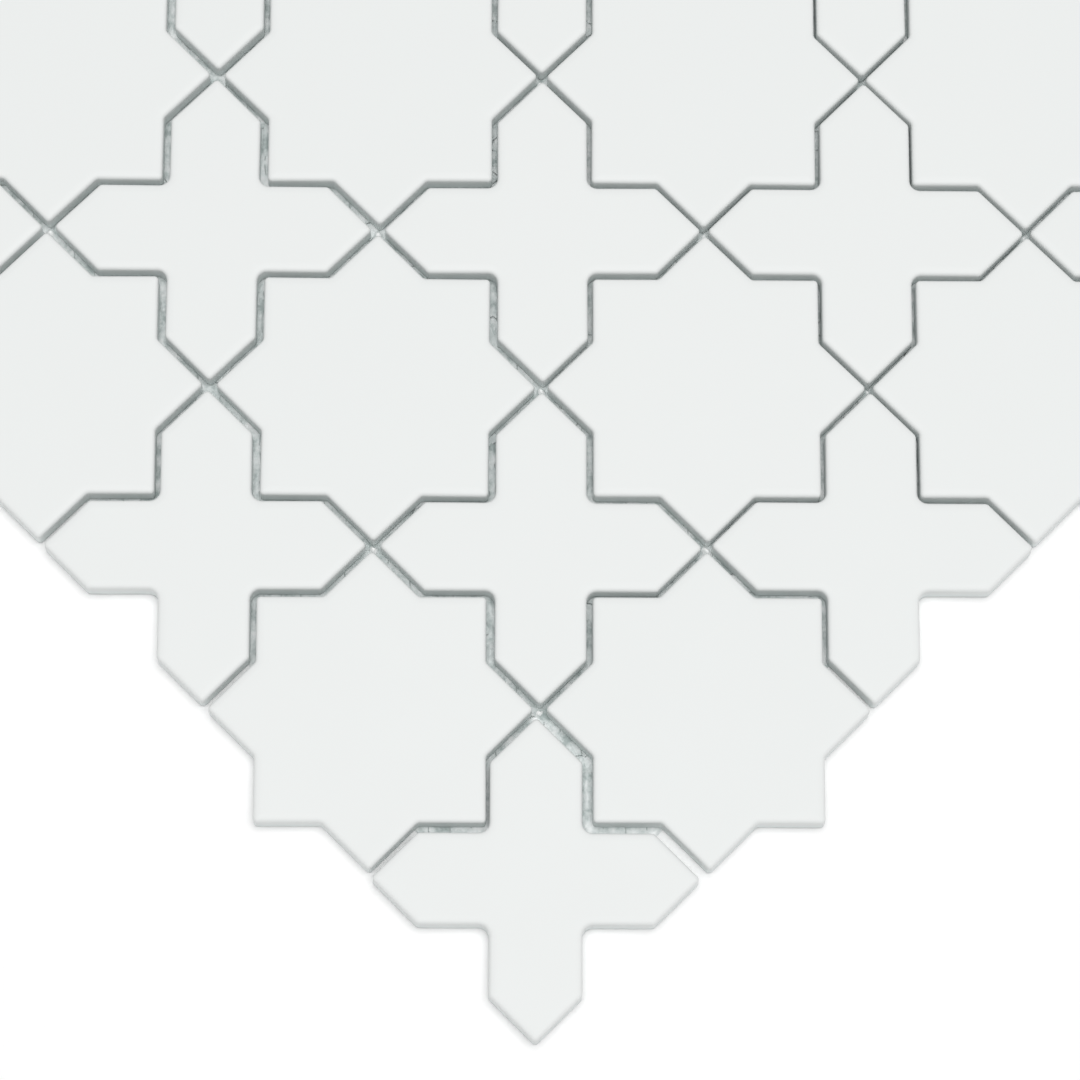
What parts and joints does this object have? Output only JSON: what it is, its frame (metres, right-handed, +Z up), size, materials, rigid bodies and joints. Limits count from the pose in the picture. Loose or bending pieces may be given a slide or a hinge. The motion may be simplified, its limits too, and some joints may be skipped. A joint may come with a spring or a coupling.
{
  "type": "star and cross mosaic sheet",
  "caption": "Sheet of white glazed eight-pointed star and pointed cross chips on a backing mesh, with stepped edges that key into the next sheet.",
  "frame": {"origin": "middle of the sheet, on the underside of the backing mesh", "axes": "+X and +Y along the sheet's straight edges, +Z up out of the glazed faces"},
  "size_m": [0.3184, 0.3191, 0.006],
  "materials": {
    "glaze": "satin",
    "mesh_thread": "matte"
  },
  "bodies": {
    "root": {"cross_r1_c1": "glaze", "star_r1_c2": "glaze", "cross_r1_c3": "glaze", "star_r1_c4": "glaze", "cross_r1_c5": "glaze", "star_r1_c6": "glaze", "star_r2_c1": "glaze", "cross_r2_c2": "glaze", "star_r2_c3": "glaze", "cross_r2_c4": "glaze", "star_r2_c5": "glaze", "cross_r2_c6": "glaze", "cross_r3_c1": "glaze", "star_r3_c2": "glaze", "cross_r3_c3": "glaze", "star_r3_c4": "glaze", "cross_r3_c5": "glaze", "star_r3_c6": "glaze", "star_r4_c1": "glaze", "cross_r4_c2": "glaze", "star_r4_c3": "glaze", "cross_r4_c4": "glaze", "star_r4_c5": "glaze", "cross_r4_c6": "glaze", "cross_r5_c1": "glaze", "star_r5_c2": "glaze", "cross_r5_c3": "glaze", "star_r5_c4": "glaze", "cross_r5_c5": "glaze", "star_r5_c6": "glaze", "star_r6_c1": "glaze", "cross_r6_c2": "glaze", "star_r6_c3": "glaze", "cross_r6_c4": "glaze", "star_r6_c5": "glaze", "cross_r6_c6": "glaze", "backing_mesh": "mesh_thread"}
  },
  "joints": []
}
